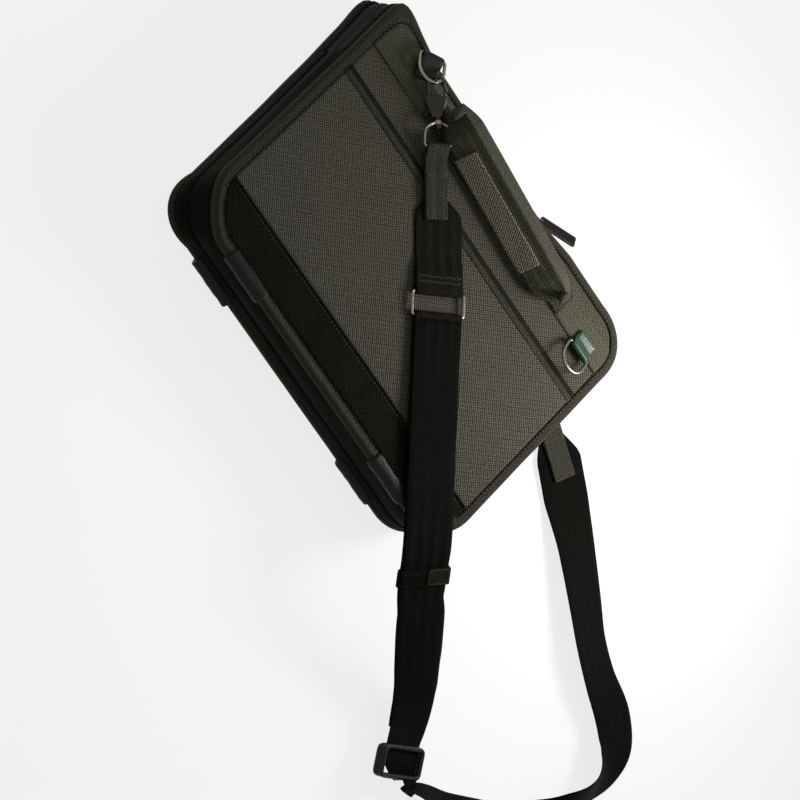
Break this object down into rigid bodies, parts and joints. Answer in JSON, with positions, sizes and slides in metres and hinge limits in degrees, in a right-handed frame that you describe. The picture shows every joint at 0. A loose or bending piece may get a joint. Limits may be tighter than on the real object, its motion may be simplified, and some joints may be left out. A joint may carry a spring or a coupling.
{
  "type": "soft laptop briefcase",
  "caption": "Soft-sided laptop briefcase lying on its back, zip-top cover on a sewn hinge, folded carry handles and a clip-on shoulder strap with snap hooks.",
  "frame": {"origin": "middle of the flat outer wall of the rear pocket, the face the case lies on", "axes": "+Z out of the front cover, +Y towards the zip and the handles, +X to the right seen from the front"},
  "size_m": [0.7305, 0.486, 0.1055],
  "materials": {
    "ballistic_weave": "woven ballistic nylon, basket weave, dark grey-green",
    "plain_weave": "plain woven nylon of the gusset and hidden back",
    "coarse_twill": "darker coarse twill of the boot strip",
    "webbing": "flat nylon webbing, herringbone",
    "strap_web": "shoulder strap webbing",
    "binding": "herringbone binding tape rolled round the edge",
    "leather": "smooth black leather, slight sheen",
    "foam": "closed-cell foam padding",
    "board": "stiffener board",
    "lining": "smooth nylon lining",
    "zip_tape": "zip tape and coil chain",
    "nickel": "bright nickel plated wire",
    "dark_metal": "dark plated die-cast metal",
    "dark_plastic": "dark moulded plastic"
  },
  "bodies": {
    "shell": {"back_panel": "plain_weave", "back_foam": "foam", "back_board": "board", "back_lining": "lining", "back_binding": "binding", "back_guards": "leather", "back_band": "webbing", "rear_pocket": "plain_weave", "gusset": "plain_weave", "gusset_foam": "foam", "gusset_lining": "lining", "zip_edge_rear": "plain_weave", "zip_rear": "zip_tape", "laptop_divider": "lining", "hold_anchor": "webbing", "rear_left_loop": "leather", "rear_right_loop": "leather", "rear_eye": "nickel", "rear_tab": "webbing", "strap_floor": "strap_web", "rear_handle_feet": "webbing"},
    "cover": {"front_panel": "ballistic_weave", "front_foam": "foam", "front_board": "board", "front_lining": "lining", "front_binding": "binding", "front_guards": "leather", "front_band": "webbing", "pocket_strip": "webbing", "front_pocket": "ballistic_weave", "front_boot": "coarse_twill", "zip_edge_front": "plain_weave", "zip_front": "zip_tape", "front_left_loop": "leather", "front_right_loop": "leather", "front_eye": "nickel", "front_tab": "webbing", "strap_top": "strap_web", "rect_loop": "nickel", "strap_cover": "strap_web", "front_handle_feet": "webbing"},
    "hold_down": {"hold_strap": "webbing"},
    "keeper": {"strap_keeper": "webbing"},
    "adjuster": {"strap_adjuster": "dark_metal", "adjuster_fold": "strap_web"},
    "left_zip": {"left_slider": "dark_metal"},
    "right_zip": {"right_slider": "dark_metal"},
    "left_tab": {"left_pull": "leather"},
    "right_tab": {"right_pull": "leather"},
    "front_grip": {"front_handle": "webbing", "front_handle_wrap": "ballistic_weave"},
    "rear_grip": {"rear_handle": "webbing"},
    "front_left_d": {"front_left_ring": "nickel"},
    "front_right_d": {"front_right_ring": "nickel"},
    "rear_left_d": {"rear_left_ring": "nickel"},
    "rear_right_d": {"rear_right_ring": "nickel"},
    "front_clip": {"front_hook": "dark_metal"},
    "front_clip_gate": {"front_gate": "dark_metal"},
    "rear_clip": {"rear_hook": "dark_metal"},
    "rear_clip_gate": {"rear_gate": "dark_metal"}
  },
  "joints": [
    {"name": "cover_hinge", "type": "hinge", "parent": "shell", "child": "cover", "pos_m": [0, -0.144, 0.069], "axis": [1, 0, 0], "range_deg": [0, 12]},
    {"name": "left_zip_slide", "type": "slide", "parent": "shell", "child": "left_zip", "axis": [1, 0, 0], "range_m": [-0.15, 0]},
    {"name": "right_zip_slide", "type": "slide", "parent": "shell", "child": "right_zip", "axis": [1, 0, 0], "range_m": [0, 0.09]},
    {"name": "left_pull_swing", "type": "hinge", "parent": "left_zip", "child": "left_tab", "pos_m": [0.025, 0.1511, 0.0439], "axis": [0, 0, 1], "range_deg": [-72, 2]},
    {"name": "right_pull_swing", "type": "hinge", "parent": "right_zip", "child": "right_tab", "pos_m": [0.047, 0.1511, 0.0439], "axis": [0, 0, 1], "range_deg": [-14, 66]},
    {"name": "hold_strap_fold", "type": "hinge", "parent": "shell", "child": "hold_down", "pos_m": [0, 0.092, 0.0247], "axis": [-1, 0, 0], "range_deg": [0, 80]},
    {"name": "keeper_slide", "type": "slide", "parent": "shell", "child": "keeper", "axis": [0.751, -0.572, -0.3299], "range_m": [-0.0035, 0.0035]},
    {"name": "adjuster_slide", "type": "slide", "parent": "shell", "child": "adjuster", "axis": [0.6189, -0.7853, -0.0163], "range_m": [-0.008, 0]},
    {"name": "front_handle_lean", "type": "hinge", "parent": "cover", "child": "front_grip", "pos_m": [0.0035, 0.108, 0.0782], "axis": [1, 0, 0], "range_deg": [-28, 4], "stiffness_Nm_per_rad": 0.08},
    {"name": "rear_handle_swing", "type": "hinge", "parent": "shell", "child": "rear_grip", "pos_m": [-0.012, 0.108, 0.0098], "axis": [-1, 0, 0], "range_deg": [0, 140]},
    {"name": "front_left_ring_turn", "type": "hinge", "parent": "cover", "child": "front_left_d", "pos_m": [-0.1448, 0.1333, 0.079], "axis": [0.866, 0.5, 0], "range_deg": [-3, 3]},
    {"name": "front_right_ring_turn", "type": "hinge", "parent": "cover", "child": "front_right_d", "pos_m": [0.16, 0.0895, 0.0784], "axis": [-1, 0, 0], "range_deg": [-15, 140]},
    {"name": "rear_left_ring_turn", "type": "hinge", "parent": "shell", "child": "rear_left_d", "pos_m": [-0.155, 0.088, 0.005], "axis": [-1, 0, 0], "range_deg": [-140, 9]},
    {"name": "rear_right_ring_turn", "type": "hinge", "parent": "shell", "child": "rear_right_d", "pos_m": [0.1348, 0.0923, 0.0046], "axis": [0.5, 0.866, 0], "range_deg": [-1, 1]},
    {"name": "front_hook_swivel", "type": "hinge", "parent": "cover", "child": "front_clip", "pos_m": [-0.12407, 0.1143, 0.08555], "axis": [0.8277, -0.5583, -0.0558], "range_deg": [-10, 10]},
    {"name": "rear_hook_swivel", "type": "hinge", "parent": "shell", "child": "rear_clip", "pos_m": [0.16231, 0.08181, 0.00736], "axis": [0.9612, -0.2756, -0.0087], "range_deg": [-1.5, 1.5]},
    {"name": "front_gate_press", "type": "hinge", "parent": "front_clip", "child": "front_clip_gate", "pos_m": [-0.11365, 0.11267, 0.09141], "axis": [-0.4315, -0.697, 0.5727], "range_deg": [0, 18], "stiffness_Nm_per_rad": 0.01, "springref_deg": -17.19},
    {"name": "rear_gate_press", "type": "hinge", "parent": "rear_clip", "child": "rear_clip_gate", "pos_m": [0.17304, 0.08576, 0.01118], "axis": [-0.1306, -0.4827, 0.866], "range_deg": [0, 18], "stiffness_Nm_per_rad": 0.01, "springref_deg": -17.19}
  ],
  "couplings": [
    {"joint": "left_zip_slide", "follows": "cover_hinge", "m_per_rad": -0.71142},
    {"joint": "right_zip_slide", "follows": "cover_hinge", "m_per_rad": 0.42733}
  ]
}
